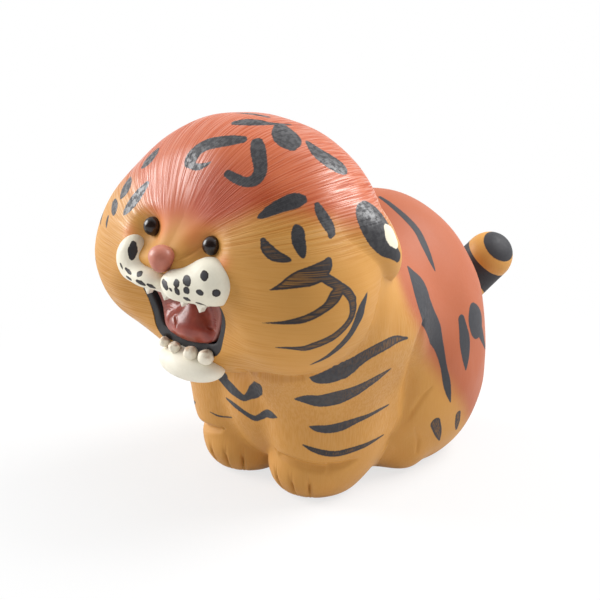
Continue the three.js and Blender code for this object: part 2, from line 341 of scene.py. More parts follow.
def padForm(side, sign):
    lumps = []
    for lump in padSpec[side].values():
        forward = faceAt(lump["x"], lump["z"]) - lump["proud"]
        lumps.append(ball(headAt + (sign * lump["x"], forward, lump["z"]), lump["radii"]))
    whole = melt(padSpec["softness"], *lumps)
    whole = dent(padSpec["edge"], whole, above(headAt[2] + padSpec["bottom"]))
    return dent(padSpec["edge"], whole, lambda points: sign * points[:, 0] - padSpec["gap"])


pads = {}
for side, sign in sides:
    outer, inner = padSpec[side]["outer"], padSpec[side]["inner"]
    middleX, middleZ = (outer["x"] + inner["x"]) / 2, (outer["z"] + inner["z"]) / 2
    middle = headAt + (sign * middleX, faceAt(middleX, middleZ) + padSpec["deep"], middleZ)
    lump = pressedBall(padForm(side, sign), middle, padSpec["detail"], dimples=padSpec["dimples"])
    pads[side] = makePiece(side + "PadSlip", lump, side + "_whisker_pad")

chinSpec = {"centre": (0, -10.2, -17.3), "radii": (6.5, 3.7, 2.6), "detail": 6, "dimples": 0.1}
chinAt = headAt + chinSpec["centre"]
chinForm = ball(chinAt, chinSpec["radii"])
chinBall = pressedBall(chinForm, chinAt, chinSpec["detail"], dimples=chinSpec["dimples"])
chin = makePiece("chinSlip", chinBall, "chin_pad")
print("face pieces ready")

# Mouth

voxelSpec = {"rim": 0.16, "upperTeeth": 0.08}  # mm
rim = softCopy("mouthRimSlip", "mouth_rim", voxelSpec["rim"])
upperTeeth = softCopy("upperTeethSlip", "upper_tooth_strip", voxelSpec["upperTeeth"])

liningSpec = {"top": -4.2, "bottom": -12.9, "topHalf": 8.4, "bottomHalf": 5.5, "back": -4, "front": -11,
              "dish": 2.2, "dishAt": -8.6, "dishRadii": (7.6, 5), "corner": 2.2, "lip": 0.8, "detail": 6}


def given(values):  # a form whose values are known already
    return lambda points: values


def liningOwn(points):  # a dished plug that fills the mouth to just behind its rim
    spec = liningSpec
    x, y, z = np.abs(points[:, 0]), points[:, 1], points[:, 2]
    rise = (z - spec["bottom"]) / (spec["top"] - spec["bottom"])
    side = x - spec["bottomHalf"] - (spec["topHalf"] - spec["bottomHalf"]) * rise
    hollow = 1 - (x / spec["dishRadii"][0]) ** 2 - ((z - spec["dishAt"]) / spec["dishRadii"][1]) ** 2
    front = spec["front"] + spec["dish"] * np.maximum(hollow, 0) - y
    walls = melt(spec["corner"], given(-side), given(spec["top"] - z), given(z - spec["bottom"]))(points)
    return -melt(spec["lip"], given(walls), given(-front), given(spec["back"] - y))(points)


liningForm = moved(liningOwn, headAt)
liningMiddle = (liningSpec["front"] + liningSpec["dish"] + liningSpec["back"]) / 2
liningAt = headAt + (0, liningMiddle, liningSpec["dishAt"])
liningBall = pressedBall(liningForm, liningAt, liningSpec["detail"])
lining = makePiece("mouthLiningClay", liningBall, "mouth_lining")

tongueSpec = {
    "root": ((0.3, -8, -8.4), (2.6, 2.6, 4.2)), "tip": ((0, -9.5, -11.3), (5.2, 2.9, 2.4)), "softness": 2.6,
    "luting": 1.2, "detail": 6, "dimples": 0.35, "farthest": 9,
}
tongueOwn = melt(tongueSpec["softness"], ball(*tongueSpec["root"]), ball(*tongueSpec["tip"]))
tongueForm = melt(tongueSpec["luting"], moved(tongueOwn, headAt), grown(liningForm, -sunk))
tongueAt = headAt + (np.array(tongueSpec["root"][0]) + tongueSpec["tip"][0]) / 2
tongueBall = pressedBall(tongueForm, tongueAt, tongueSpec["detail"], tongueSpec["farthest"],
                         tongueSpec["dimples"])
tongue = makePiece("tongueClay", tongueBall, "tongue")

beadSpec = {"radii": (0.85, 0.95, 1.15, 1.25), "lumps": 0.12, "spread": 0.7, "detail": 4}
beads = []
for count, radius in enumerate(beadSpec["radii"], 1):
    node = f"lower_tooth_{count}"
    middle = Vector(nodeCentre(node))
    bm = bmesh.new()
    bmesh.ops.create_icosphere(bm, subdivisions=beadSpec["detail"], radius=1)
    for vert in bm.verts:
        uneven = beadSpec["lumps"] * noise.noise(vert.co / beadSpec["spread"] + middle)
        vert.co = (middle + vert.co * (radius + uneven)) * mm
    beads.append(makePiece(f"lowerToothBead{count}", bm, node))
print("mouth ready")

# Body, hollow with a firing vent; its slip is thumbed up onto the head behind the cheeks

bodySpec = {
    "barrel": ((0, 1, 20), (19.5, 18.5, 23.5)), "haunch": ((7.4, 0.6, 10.8), (9.2, 13.8, 11.3)),
    "shoulder": ((8.6, -18.2, 16.5), (9.8, 10.4, 18)), "chest": ((0, -18, 16.5), (10.2, 11, 13.6)),
    "nape": ((9, -17.3, 29), (14.5, 17, 12.5)), "softness": 6, "chestSoftness": 1.4,
    "base": 0.8, "wall": 3.6, "middle": (0, -3, 20), "detail": 7, "raySteps": 60, "hollowDetail": 5,
    "ventDiameter": 7, "ventSegments": 48,
}
# how softly the body meets the head, by the figure's y, and how far past that its slip may reach
neckSpec = {"crisp": 0.4, "soft": 8, "from": -29, "to": -20, "spare": 1}
bodyOwn = melt(
    bodySpec["chestSoftness"],
    melt(bodySpec["softness"], ball(*bodySpec["barrel"]), bothSides(ball(*bodySpec["haunch"])),
         bothSides(ball(*bodySpec["shoulder"])), bothSides(ball(*bodySpec["nape"]))),
    ball(*bodySpec["chest"]),
)
bodyForm = thumbed(moved(bodyOwn, figureAt))


def neckSoftness(points):
    share = smoothStep(neckSpec["from"], neckSpec["to"], points[:, 1] - figureAt[1])
    return neckSpec["crisp"] + (neckSpec["soft"] - neckSpec["crisp"]) * share


def slipForm(points):  # the body with its fillet, no further up the head than the fillet needs
    filled = melt(neckSoftness, bodyForm, grown(headForm, -sunk))(points)
    return np.maximum(filled, bodyForm(points) - neckSoftness(points) - neckSpec["spare"])


standing = dent(bodySpec["base"], slipForm, above(0))
bodyMiddle = figureAt + bodySpec["middle"]
bodyBall = pressedBall(standing, bodyMiddle, bodySpec["detail"], steps=bodySpec["raySteps"])
body = makePiece("bodyClay", bodyBall, "body_shell")
inner = dent(bodySpec["base"], grown(bodyForm, -bodySpec["wall"]), above(bodySpec["wall"]))
carve(body, pressedBall(inner, bodyMiddle, bodySpec["hollowDetail"]))
vent = bmesh.new()
ventRadius = bodySpec["ventDiameter"] / 2 * mm
ventLength = 4 * bodySpec["wall"] * mm  # well past both faces of the wall
bmesh.ops.create_cone(vent, cap_ends=True, segments=bodySpec["ventSegments"], radius1=ventRadius,
                      radius2=ventRadius, depth=ventLength)
bmesh.ops.translate(vent, verts=vent.verts, vec=figureAt * mm)
carve(body, vent)
print("body:", len(body.data.polygons), "faces")

# Paws

foreSpec = {"centre": (7.6, -20.2, 4.6), "radii": (7.4, 6.9, 6), "softness": 0.8, "base": 0.8, "detail": 7,
            "farthest": 9, "toeDegrees": (-40, -14, 14, 40), "toeCut": (0.16, 1.6, 1.7), "toeSoftness": 0.7,
            "toeReach": 7.2, "toeHeight": 1.9}
hindSpec = {"centre": (12, -4.2, 4.4), "radii": (3.8, 3.6, 4.3), "softness": 2.2, "base": 0.8, "detail": 6,
            "farthest": 6}
paws = {}


def pawForm(spec, middle):
    lump = melt(spec["softness"], ball(middle, spec["radii"]), grown(bodyForm, -sunk))
    return dent(spec["base"], lump, above(0))


for side, sign in sides:
    middle = figureAt + np.array(foreSpec["centre"]) * (sign, 1, 1)
    form = pawForm(foreSpec, middle)
    toeAt = middle * (1, 1, 0) + (0, -foreSpec["toeReach"], foreSpec["toeHeight"])
    cut = ball(toeAt, foreSpec["toeCut"])
    for degrees in foreSpec["toeDegrees"]:
        form = dent(foreSpec["toeSoftness"], form, turned(cut, degrees, "Z", middle))
    lump = pressedBall(form, middle, foreSpec["detail"], foreSpec["farthest"])
    paws[side + "Fore"] = makePiece(side + "ForepawClay", lump, side + "_forepaw")
    middle = figureAt + np.array(hindSpec["centre"]) * (sign, 1, 1)
    lump = pressedBall(pawForm(hindSpec, middle), middle, hindSpec["detail"], hindSpec["farthest"])
    paws[side + "Hind"] = makePiece(side + "HindPawClay", lump, side + "_hind_paw")
print("paws:", len(paws))

# Tail: a round-ended roll curled up and towards the cub's left, flared where it is luted on

tailSpec = {"radius": 4.1, "root": (0, 13, 17), "bend": (-3.5, 28.9, 21), "tip": (5.1, 28.3, 29.4),
            "flare": 2, "bedded": 0.3, "beddingPower": 4, "around": 48, "along": 72,
            "pathSteps": 200, "merge": 0.0001, "bands": ((14, 18.9), (22, 40)), "bandGrey": 0.6,
            "redFull": 7, "redGone": 13}
tailShare = np.linspace(0, 1, tailSpec["pathSteps"])[:, None]
tailPath = figureAt + (
    (1 - tailShare) ** 2 * np.array(tailSpec["root"]) + tailShare ** 2 * np.array(tailSpec["tip"])
    + 2 * tailShare * (1 - tailShare) * np.array(tailSpec["bend"])
)
tailRun = np.concatenate([[0], np.cumsum(np.linalg.norm(np.diff(tailPath, axis=0), axis=1))])
tailSlope = np.gradient(tailPath, axis=0)
tailSlope /= np.linalg.norm(tailSlope, axis=1)[:, None]


def onTail(run, table):
    return np.array([np.interp(run, tailRun, column) for column in table.T])


def makeTail():
    bm = bmesh.new()
    bmesh.ops.create_uvsphere(bm, u_segments=tailSpec["around"], v_segments=tailSpec["along"], radius=1)
    full, thick, flare = tailRun[-1], tailSpec["radius"], tailSpec["flare"]
    for vert in bm.verts:
        run = (math.asin(max(-1, min(1, vert.co.z))) / math.pi + 0.5) * full
        over = max(0, thick - run, run - (full - thick)) / thick
        girth = thick * math.sqrt(max(0, 1 - over ** 2))
        middle, along = onTail(run, tailPath), onTail(run, tailSlope)
        aside = np.array((1, 0, 0)) - along * along[0]
        aside /= np.linalg.norm(aside)
        flat = max(math.hypot(vert.co.x, vert.co.y), tiny)
        out = aside * vert.co.x / flat + np.cross(aside, along) * vert.co.y / flat
        place = middle + out * girth
        proud = bodyForm(place[None, :])[0]
        if girth == thick and proud < flare:
            share = 1 - max(proud, 0) / flare
            place = place + out * flare * (1 - math.sqrt(max(0, 1 - share ** 2)))
            lift = bodyForm(place[None, :])[0] + tailSpec["bedded"]
            place = place - along * max(lift, 0) * share ** tailSpec["beddingPower"]
        vert.co = Vector(place) * mm
    bmesh.ops.remove_doubles(bm, verts=bm.verts, dist=tailSpec["merge"] * mm)
    bmesh.ops.recalc_face_normals(bm, faces=bm.faces)
    return bm


tail = makePiece("tailClay", makeTail(), "tail")
print("tail ready")

# Camera, at the photo's viewing angle

cameraSpec = {"azimuth": 45, "elevation": 20, "distance": 400, "lens": 150, "sensor": 36,
              "aim": (0.9, -16.4, 29.4), "clip": (0.01, 10), "photoWidth": 600}


def towards(spec):  # the direction from the figure out to a camera or lamp
    turn, lift = math.radians(spec["azimuth"]), math.radians(spec["elevation"])
    return Vector((math.sin(turn) * math.cos(lift), -math.cos(turn) * math.cos(lift), math.sin(lift)))


def standAt(name, data, place, outward):  # a camera or lamp that looks back at the figure
    made = bpy.data.objects.new(name, data)
    made.location = place
    made.rotation_euler = (-outward).to_track_quat("-Z", "Y").to_euler()
    bpy.context.scene.collection.objects.link(made)
    return made


azimuth = math.radians(cameraSpec["azimuth"])
backward = towards(cameraSpec)
rightward = Vector((math.cos(azimuth), math.sin(azimuth), 0))
upward = backward.cross(rightward)
cameraAt = (Vector(figureAt + cameraSpec["aim"]) + backward * cameraSpec["distance"]) * mm
lensData = bpy.data.cameras.new("camera")
lensData.lens, lensData.sensor_width = cameraSpec["lens"], cameraSpec["sensor"]
lensData.clip_start, lensData.clip_end = cameraSpec["clip"]
bpy.context.scene.camera = standAt("camera", lensData, cameraAt, backward)
focalPixels = cameraSpec["lens"] / cameraSpec["sensor"] * cameraSpec["photoWidth"]

# Brush strokes: (x, y, width) in the photo's pixels along each one. dry is how dry the brush was at its
# start and end, grey how thin the ink, and widest how many times wider it may run on slanting clay. on says
# which pieces take it, and twin paints the hidden side too. brushSpec holds where a stroke doesn't say.

brushSpec = {"headGrey": 0.2, "bodyGrey": 1.0, "unseenGrey": 0.7, "creamGrey": 0.0, "dry": (0, 0),
             "widest": 2, "pixelGap": 1.5, "unseenGap": 0.5, "spare": 2}
headStrokes = {
    "rightHook": {"run": [(242, 139.5, 7), (228, 140.5, 10), (210, 143.5, 10), (199, 149, 10),
                          (192, 157, 11), (190, 163.5, 9), (197, 167, 7), (205, 165, 4), (211, 162, 1)]},
    "leftHook": {"run": [(257, 142, 12), (258, 150, 15), (260, 162, 14), (260, 172, 13), (255, 179.5, 12),
                         (246, 182, 10), (236, 178.5, 10), (227.5, 173.5, 8)]},
    "crownBlob": {"run": [(281, 127, 9), (284, 133, 16), (289, 141, 19), (291.5, 147, 10)]},
    "crownLeaf": {"run": [(308, 142.5, 3), (319, 153, 9.5), (330.5, 161, 12), (338.5, 166.5, 11),
                          (343.5, 171, 4)], "twin": True},
    "crownFront": {"run": [(236, 122.5, 5), (246, 122, 7.5), (258, 122.5, 7), (268, 123.5, 4),
                           (290, 124.5, 1.5)]},
    "crownRear": {"run": [(237, 113, 2.5), (252, 114, 3), (268, 117, 2.5)]},
    "browLeaf": {"run": [(258.5, 217, 3), (264, 214.5, 8), (272, 210, 12), (284, 204.5, 15),
                         (294, 201, 16.5), (301, 199.5, 11)]},
    "templeLeaf": {"run": [(317.5, 205, 6), (321, 213, 10), (327, 223, 11.5), (331, 231.5, 9),
                           (330.5, 237, 4)]},
    "cheekBean": {"run": [(262.8, 240, 5), (266.5, 248, 11), (274, 255, 11.5), (283.5, 258.5, 8),
                          (289.5, 260, 4)], "dry": (0.4, 0.2)},
    "cheekLeaf": {"run": [(295.5, 225, 2), (298, 232, 12), (298.5, 240.5, 13), (301, 249, 10.5),
                          (303, 256, 5)]},
    "cheekWedge": {"run": [(270, 290, 1), (282.3, 286, 7), (291.5, 282, 12.5), (301.4, 278.6, 16.5),
                           (309.7, 276.5, 18), (318.8, 272.4, 17), (326, 266, 12), (329, 260, 6)],
                   "dry": (1.0, 0.1), "twin": True},
    "cheekLink": {"run": [(322, 276, 10), (332, 282, 10.5), (340.5, 286.5, 8.5), (347, 291.5, 9.5),
                          (352.5, 299, 9)], "dry": (0.4, 0.5), "grey": 0.6, "twin": True},
    "cheekSecond": {"run": [(341, 289, 8), (336, 295, 12), (332.5, 300.5, 11), (327, 306.5, 8.5),
                            (316.3, 313.8, 7.5), (304, 319.3, 7), (293, 321.6, 5.3), (283, 322.7, 3.5),
                            (272.4, 323, 2), (262.4, 323, 0.6)], "dry": (0.5, 0.9), "twin": True},
    "cheekThird": {"run": [(352, 298, 8), (353.2, 307, 7), (352, 315, 5.5), (348.7, 322, 5.2),
                           (343, 328.8, 5.5), (334.6, 336.2, 6), (324.6, 341.6, 6.2), (313, 346, 6.2),
                           (303.9, 348.5, 5), (295.6, 348.4, 3.3), (284.8, 347.8, 2), (275, 347.4, 0.7)],
                   "dry": (0.4, 1.0), "grey": 0.7, "twin": True},
    # cheekFourth's lighter grey ink is painted sheen, from the light behind on the right
    "cheekFourth": {"run": [(367.3, 292.3, 0.8), (364.8, 300, 3.7), (362, 307.5, 6), (360, 315, 7),
                            (357, 322, 6), (352.8, 330.4, 5), (347, 338.7, 4.8), (339.6, 346.6, 4.4),
                            (331.3, 353.6, 3.4), (323, 359, 2.4), (310.5, 364.8, 0.9)],
                    "dry": (0.0, 0.5), "grey": 1.0, "twin": True},
    "farTemple": {"run": [(156.5, 150.5, 4), (150, 158.5, 9), (143, 166.5, 3)], "grey": 0.6},
    "farBrow": {"run": [(146.5, 184.5, 4.5), (137, 196.5, 8.5), (130, 205.5, 7.5), (125.5, 211.5, 4)],
                "grey": 0.8},
    "farLeaf": {"run": [(128.5, 181, 5), (126, 188, 9), (122.5, 195.5, 4)], "grey": 0.8},
    "farBean": {"run": [(114, 202, 4), (114.5, 207, 6), (114.5, 212, 4)], "grey": 0.8},
    "farEdge": {"run": [(108, 217, 2), (106.8, 222, 2.5), (106.4, 227, 1)], "grey": 0.8},
    "earPatch": {"run": [(367.5, 206, 9), (372, 216, 21), (379, 229, 24), (387.5, 242, 19.5),
                         (394.5, 252, 10.5), (398.5, 257, 6)], "twin": True},
}
bodyStrokes = {
    "backLong": {"run": [(380, 197, 2), (390, 204, 3.5), (405, 217, 5), (417, 230.5, 5.5),
                         (425, 246.5, 5.5), (431.5, 262, 3.5), (435, 270.5, 1)], "twin": True},
    "flankLong": {"run": [(410.5, 270.5, 5), (415, 278, 10), (420.5, 288, 15), (426.5, 308, 15.5),
                          (430.5, 320, 13), (434.5, 331, 11), (440, 350, 8.5), (443.8, 367, 6.5),
                          (446.5, 381, 7.5), (448.5, 392, 5.5), (450.5, 402, 1)],
                  "widest": 2.2, "twin": True},
    "flankMiddle": {"run": [(461.5, 319.5, 6.5), (463.5, 330, 8.5), (465, 341, 10), (466, 355, 7),
                            (466, 369, 1.5)], "widest": 2.2, "twin": True},
    "flankRear": {"run": [(474, 312, 9), (477, 321.5, 15), (481.5, 334, 13), (485, 347, 5)],
                  "widest": 2.2, "twin": True},
    "haunchWedge": {"run": [(435.5, 423, 10), (438, 431.8, 7), (439.5, 440.3, 1)],
                    "dry": (0.5, 0.7), "twin": True},
    "haunchFaint": {"run": [(458.2, 414, 4), (457.5, 422, 4), (456.5, 429, 1.5)],
                    "dry": (0.7, 0.9), "twin": True},
    "shoulderFirst": {"run": [(309.6, 377.5, 1), (318.5, 379, 9), (331.4, 376, 14), (344, 369.5, 15),
                              (355, 362.6, 12), (366, 355.3, 10.5), (380, 347.8, 9.5), (395.6, 340, 7),
                              (407.5, 338, 2)], "dry": (0.0, 0.9), "twin": True},
    "shoulderSecond": {"run": [(295, 399.2, 1.5), (308.6, 399.6, 9), (320.5, 400.8, 11.5),
                               (336.3, 397.8, 13), (353, 391.9, 10), (366, 385, 7), (378.8, 377, 4.5),
                               (391, 368.6, 1)], "dry": (0.0, 0.8), "twin": True},
    "shoulderThird": {"run": [(309, 426.5, 1), (317.5, 428.5, 6.5), (328.4, 429, 8.3), (341.2, 426.5, 8.5),
                              (355, 421, 5.7), (369, 415.4, 3.2), (388.7, 404.7, 1)],
                      "dry": (0.0, 0.8), "twin": True},
    "shoulderFourth": {"run": [(303.2, 445, 1.5), (312.6, 449.6, 4.5), (324.4, 453, 6),
                               (336.3, 453.8, 5.6), (350, 450.6, 5.2), (364, 445.7, 3.6),
                               (373.9, 440.7, 2), (383.7, 434.8, 0.8)],
                       "dry": (0.2, 0.8), "grey": 0.3, "twin": True},
    "chestUpper": {"run": [(221, 377, 7.5), (229, 386, 7), (237, 393.5, 6.5), (244, 398, 6),
                           (249.5, 395.2, 9), (254.5, 391, 14.5), (258.2, 387.8, 12), (260.5, 385.8, 5)]},
    "chestLower": {"run": [(226, 398, 1), (235, 405.5, 3.2), (245, 413, 3.8), (254.5, 418.3, 5),
                           (260.5, 416.6, 6.5), (266, 413.8, 7.5), (271, 414.3, 5), (277, 417.3, 1)]},
    "farLeg": {"run": [(210, 412, 0.8), (219, 416, 1.6), (232, 417.5, 0.8)], "dry": (0.8, 0.8)},
}

# whisker spots: (x, y, half length across, half length down, width) in the photo's pixels
whiskerSpots = {
    "leftA": (204.2, 275.7, 0.5, 3, 8.5), "leftB": (199.8, 292.6, 2.2, 0.6, 6),
    "leftC": (216.3, 293.2, 1.6, 0, 8), "leftD": (186.8, 280.6, 1.2, 3, 8.5),
    "leftE": (186.5, 290.4, 0.6, 1.6, 6.5), "leftF": (186.9, 299.2, 2.4, 1, 4.5),
    "leftG": (200.8, 304, 4, 1.2, 4), "leftH": (176.4, 283.4, 0.6, 2.2, 6.5),
    "leftJ": (177, 291.5, 1.4, 2.2, 5.5), "leftK": (164.6, 284.6, 2, 3.6, 7),
    "leftL": (170.6, 289.6, 1, 1.2, 2.5), "rightA": (132.7, 250.4, -0.8, 7, 9.5),
    "rightB": (139.5, 273.6, 0.3, 1.2, 6.5), "rightC": (140.5, 282.8, 4, 2, 4.5),
    "rightD": (151.3, 286.5, 3.4, 1.8, 4.5), "rightE": (128.3, 271.2, 2.6, 2.4, 3.8),
    "rightF": (128.8, 278.2, 2.2, 1.4, 3.4), "rightG": (121.3, 266, 1.2, 2.6, 2.5),
}
spotSpec = {"endShare": 0.6, "widest": 1.1, "on": "PadSlip"}


def spotStroke(x, y, across, down, wide):
    end = spotSpec["endShare"] * wide
    run = [(x - across, y - down, end), (x, y, wide), (x + across, y + down, end)]
    return {"run": run, "widest": spotSpec["widest"], "on": spotSpec["on"]}


spotStrokes = {name: spotStroke(*spot) for name, spot in whiskerSpots.items()}
creamStrokes = {"earSpot": {"run": [(387, 228.5, 5), (391.3, 235.5, 9), (395.8, 243, 5.5)], "twin": True}}

# strokes on the sides that the photo doesn't show: (x, y, z, width) in millimetres near the skin
unseenStrokes = {
    "napeMiddle": {"run": [(-6, -3, 54, 1), (0, -4, 55.5, 2.2), (6, -3, 54, 1)], "on": "headClay"},
    "napeLower": {"run": [(-8, 0, 48, 1), (0, 0.5, 49, 2.4), (8, 0, 48, 1)], "on": "headClay"},
    "spineSecond": {"run": [(-4, 15, 39, 0.8), (0, 16, 39, 2), (4, 15, 39, 0.8)], "on": "bodyClay"},
    "spineThird": {"run": [(-7, 22, 31, 0.8), (0, 23, 31, 2), (7, 22, 31, 0.8)], "on": "bodyClay"},
}

# folds in the clay, placed as the strokes are; depth is in millimetres
creaseStrokes = {
    "jaw": {"run": [(238, 369, 2), (254, 373.5, 5), (275, 378, 6), (296, 378, 5), (312, 374, 3)],
            "depth": 0.8},
    "ankle": {"run": [(276, 450, 2), (282.4, 456.6, 7), (303, 465.8, 10), (324.5, 468.8, 10),
                      (341, 466, 7), (356, 460, 2)], "depth": 1.2, "twin": True},
    "elbow": {"run": [(424, 322, 3), (420, 340, 8), (415, 362, 11), (411, 384, 12), (408, 400, 12),
                      (405, 418, 11), (398, 434, 10), (388, 450, 9), (377, 467, 3)],
              "depth": 1.1, "twin": True},
    "haunchFold": {"run": [(431, 388, 2), (422, 398, 5), (413, 412, 5), (407, 424, 2)],
                   "depth": 0.35, "twin": True},
    "hindToe": {"run": [(415, 428, 2), (418, 440, 4), (417, 452, 3)], "depth": 0.25, "twin": True},
    "muzzleFold": {"run": [(174, 261, 2), (188, 254, 5), (203, 246, 2)], "depth": 0.35},
    "tongueLeft": {"run": [(175, 316, 1.5), (175.5, 322, 2.4), (176, 327, 1)], "depth": 0.4},
    "tongueRight": {"run": [(207, 327, 1), (211, 328.5, 2.4), (215, 330, 1.5)], "depth": 0.4},
}

# Strokes and folds, laid on the clay

paintedPieces = [head, body, tail, nose, chin, *ears.values(), *pads.values(), *paws.values()]
creasedPieces = [*paintedPieces, tongue, lining]


def skinOf(piece):
    bm = meshOf(piece)
    skin = BVHTree.FromBMesh(bm)
    bm.free()
    return skin


skins = {piece.name: skinOf(piece) for piece in creasedPieces}


def castPixel(x, y):  # on which piece a photo pixel lies, and where, in millimetres
    half = cameraSpec["photoWidth"] / 2
    ray = -backward + rightward * ((x - half) / focalPixels) - upward * ((y - half) / focalPixels)
    hits = []
    for name, skin in skins.items():
        point, normal, index, distance = skin.ray_cast(cameraAt, ray.normalized())
        if point is not None:
            hits.append((distance, name, np.array(point) / mm))
    return min(hits, key=lambda hit: hit[0])[1:] if hits else (None, None)


def smoothRun(points, gap):  # a smooth line through a stroke's points
    points = np.array(points, float)
    padded = np.vstack([2 * points[0] - points[1], points, 2 * points[-1] - points[-2]])
    run = []
    for index in range(1, len(padded) - 2):
        before, first, second, after = padded[index - 1:index + 3]
        count = max(2, math.ceil(np.linalg.norm((second - first)[:2]) / gap))
        for share in np.arange(count) / count:
            bend = (2 * before - 5 * first + 4 * second - after) * share ** 2
            bend += (3 * first - before - 3 * second + after) * share ** 3
            run.append(first + ((second - before) * share + bend) / 2)
    run.append(points[-1])
    return np.array(run)


# (x, y, z, half width, dryness) along a stroke on the clay, and the pieces that it crosses
def layStroke(stroke):
    run = smoothRun(stroke["run"], brushSpec["pixelGap"])
    slope = np.gradient(run[:, :2], axis=0)
    slope /= np.maximum(np.linalg.norm(slope, axis=1), tiny)[:, None]
    first, last = stroke.get("dry", brushSpec["dry"])
    dryness = first + (last - first) * np.linspace(0, 1, len(run)) ** 2
    millimetresPerPixel = cameraSpec["distance"] / focalPixels
    laid, names = [], set()
    for (x, y, width), (alongX, alongY), dry in zip(run, slope, dryness):
        name, point = castPixel(x, y)
        if name is None:
            continue
        plain = width / 2 * millimetresPerPixel
        acrossX, acrossY = -alongY * width / 2, alongX * width / 2
        edges = [castPixel(x + acrossX * sign, y + acrossY * sign) for sign in (-1, 1)]
        reaches = [np.linalg.norm(spot - point) for other, spot in edges if other == name]
        widest = stroke.get("widest", brushSpec["widest"]) * plain
        half = np.clip(np.mean(reaches), plain, widest) if len(reaches) == 2 else plain
        laid.append((*point, half, dry))
        names.add(name)
    return np.array(laid), names


def mirrorName(name):
    return name.replace("left", "other").replace("right", "left").replace("other", "right")


farTurn = 7  # degrees by which strokes on the hidden side of the head sit further back than their twins
mirrorRow = (-1, 1, 1, 1, 1)


def mirrored(laid, names):
    points = laid * mirrorRow
    if body.name in names:
        return points
    spin = np.array(Matrix.Rotation(math.radians(-farTurn), 2))
    points[:, :2] = headAt[:2] + (points[:, :2] - headAt[:2]) @ spin.T
    for row in points:
        spots = [skins[name].find_nearest(Vector(row[:3]) * mm) for name in names]
        row[:3] = np.array(min(spots, key=lambda spot: spot[3])[0]) / mm
    return points


def layAll(strokes, grey):
    laidStrokes = []
    for stroke in strokes.values():
        laid, names = layStroke(stroke)
        if len(laid) < 2:
            continue
        names = {name for name in names if stroke.get("on", "") in name}
        tone = stroke.get("grey", grey)
        laidStrokes.append({"laid": laid, "names": names, "grey": tone})
        if stroke.get("twin"):
            others = {mirrorName(name) for name in names}
            laidStrokes.append({"laid": mirrored(laid, others), "names": others, "grey": tone})
    return laidStrokes


def layUnseen(strokes, grey):
    laidStrokes = []
    for stroke in strokes.values():
        laid = []
        for x, y, z, width in smoothRun(stroke["run"], brushSpec["unseenGap"]):
            spot = skins[stroke["on"]].find_nearest(Vector((x, y, z)) * mm)[0]
            laid.append((*(np.array(spot) / mm), width / 2, 0))
        laidStrokes.append({"laid": np.array(laid), "names": {stroke["on"]}, "grey": grey})
    return laidStrokes


farAway = 9.0  # mm, where no paint is near


def strokeDistance(points, laid):  # distance outside a stroke's edge, its half width and its dryness
    nearest = np.tile((farAway, 1.0, 0.0), (len(points), 1))
    for start, end in zip(laid[:-1], laid[1:]):
        along = end[:3] - start[:3]
        share = np.clip(((points - start[:3]) @ along) / max(along @ along, tiny), 0, 1)
        middle = start + share[:, None] * (end - start)
        gap = np.linalg.norm(points - middle[:, :3], axis=1) - middle[:, 3]
        closer = gap < nearest[:, 0]
        nearest[closer] = np.column_stack([gap, middle[:, 3:]])[closer]
    return nearest


def closeTo(points, laid):  # which points a stroke could reach
    middle = laid[:, :3].mean(axis=0)
    reach = np.linalg.norm(laid[:, :3] - middle, axis=1).max() + 2 * laid[:, 3].max()
    return np.nonzero(np.linalg.norm(points - middle, axis=1) < reach + brushSpec["spare"])[0]


def paintOn(name, points, laidStrokes):  # distance, dryness and greyness of the nearest stroke
    paint = np.tile((farAway, 0.0, 0.0), (len(points), 1))
    for stroke in laidStrokes:
        if name not in stroke["names"]:
            continue
        close = closeTo(points, stroke["laid"])
        if not len(close):
            continue
        nearest = strokeDistance(points[close], stroke["laid"])
        nearest[:, 1:] = np.column_stack([nearest[:, 2], np.full(len(close), stroke["grey"])])
        closer = nearest[:, 0] < paint[close, 0]
        paint[close[closer]] = nearest[closer]
    return paint


def readPoints(piece):
    points = np.zeros(len(piece.data.vertices) * 3, np.float32)
    piece.data.vertices.foreach_get("co", points)
    return points.reshape(-1, 3).astype(float) / mm


def pressCrease(piece, laid, depth):
    points = readPoints(piece)
    close = closeTo(points, laid)
    if not len(close):
        return
    gaps, halves = strokeDistance(points[close], laid)[:, :2].T
    share = np.exp(-((gaps + halves) / halves) ** 2) * halves / laid[:, 3].max()
    normals = np.array([piece.data.vertices[index].normal for index in close])
    points[close] -= normals * (depth * share)[:, None]
    piece.data.vertices.foreach_set("co", (points * mm).astype(np.float32).ravel())
    piece.data.update()


creaseSpread = 1.5  # half widths past a fold's edge, within which faces are split
laidCreases = []
for crease in creaseStrokes.values():
    laid = layStroke(crease)[0]
    if len(laid) > 1:
        laidCreases.append((laid, crease["depth"]))
        if crease.get("twin"):
            laidCreases.append((laid * mirrorRow, crease["depth"]))


def nearCreases(points):
    near = np.zeros(len(points), bool)
    for laid, depth in laidCreases:
        close = closeTo(points, laid)
        if len(close):
            gaps, halves = strokeDistance(points[close], laid)[:, :2].T
            near[close] |= gaps < creaseSpread * halves
    return near


def refine(piece, near):  # splits the edges between vertices that are near something
    bm = meshOf(piece)
    edges = [edge for edge in bm.edges if near[edge.verts[0].index] and near[edge.verts[1].index]]
    bmesh.ops.subdivide_edges(bm, edges=edges, cuts=1, use_grid_fill=True)
    bm.to_mesh(piece.data)
    bm.free()


for piece in (head, body):
    refine(piece, nearCreases(readPoints(piece)))
for laid, depth in laidCreases:
    for piece in creasedPieces:
        pressCrease(piece, laid, depth)
for piece in paintedPieces:
    skins[piece.name] = skinOf(piece)
print("creases pressed:", len(laidCreases))


def runOnTail(points):
    return tailRun[np.linalg.norm(points[:, None] - tailPath[None], axis=2).argmin(axis=1)]


